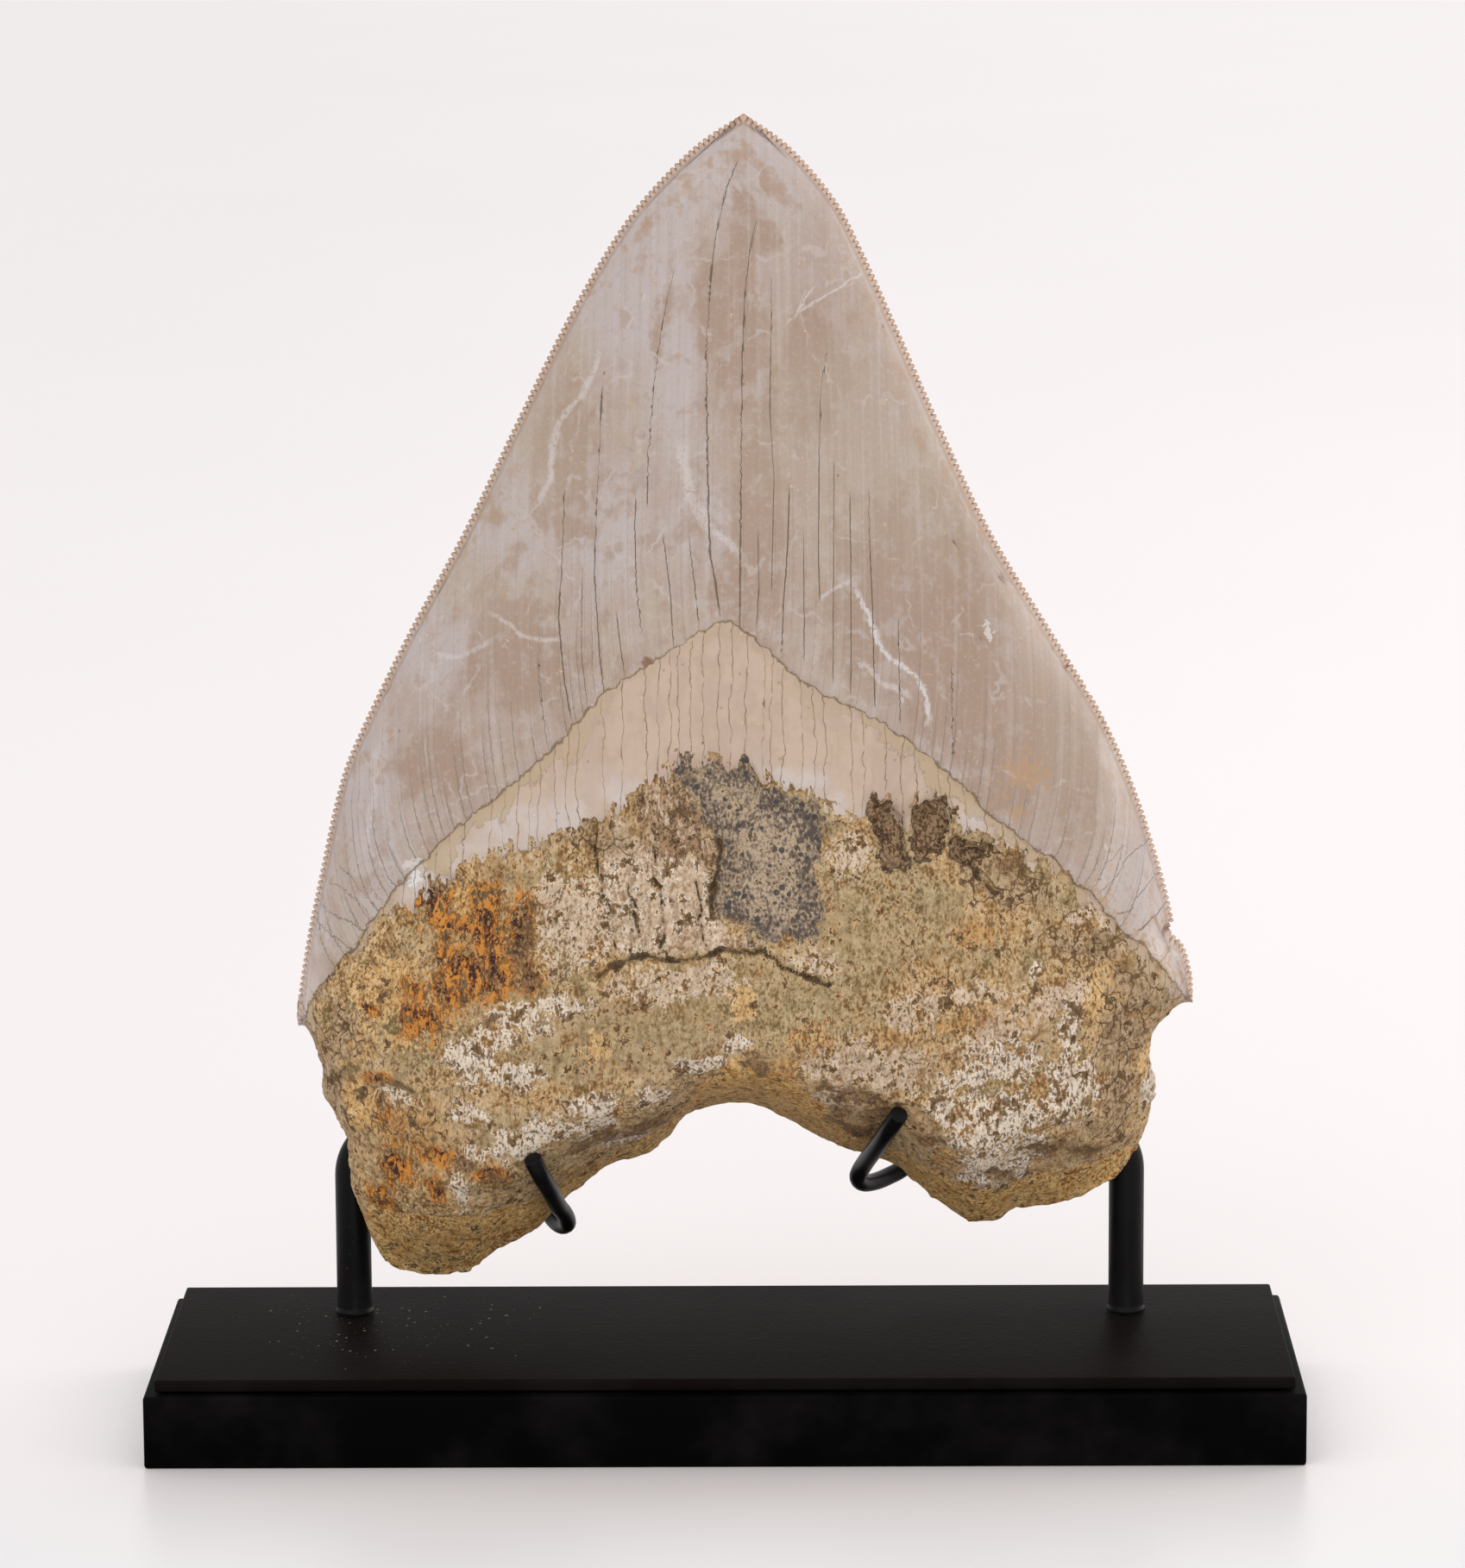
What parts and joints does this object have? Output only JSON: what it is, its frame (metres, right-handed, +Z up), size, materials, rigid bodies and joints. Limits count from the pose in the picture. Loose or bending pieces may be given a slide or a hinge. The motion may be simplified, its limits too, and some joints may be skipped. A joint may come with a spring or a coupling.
{
  "type": "fossil megalodon tooth on display stand",
  "caption": "Large serrated fossil shark tooth with porous root, held upright by hooked rods on a flat black plinth.",
  "frame": {"origin": "bottom centre of the plinth", "axes": "+Z up from the plinth to the tooth's tip, +X to the right along the plinth as seen from the tooth's convex face, +Y backwards to the posts"},
  "size_m": [0.1524, 0.0508, 0.175],
  "materials": {
    "fossil_tooth": "satin pinkish-grey enamel with fine cracks over a cream band and a dull porous ochre root",
    "black_plinth": "satin black lacquer",
    "black_plate": "satin black paint with a light orange peel",
    "black_rod": "satin black paint"
  },
  "bodies": {
    "root": {"tooth": "fossil_tooth", "plinth": "black_plinth", "top_plate": "black_plate", "left_post": "black_rod", "right_post": "black_rod", "left_hook": "black_rod", "right_hook": "black_rod"}
  },
  "joints": []
}
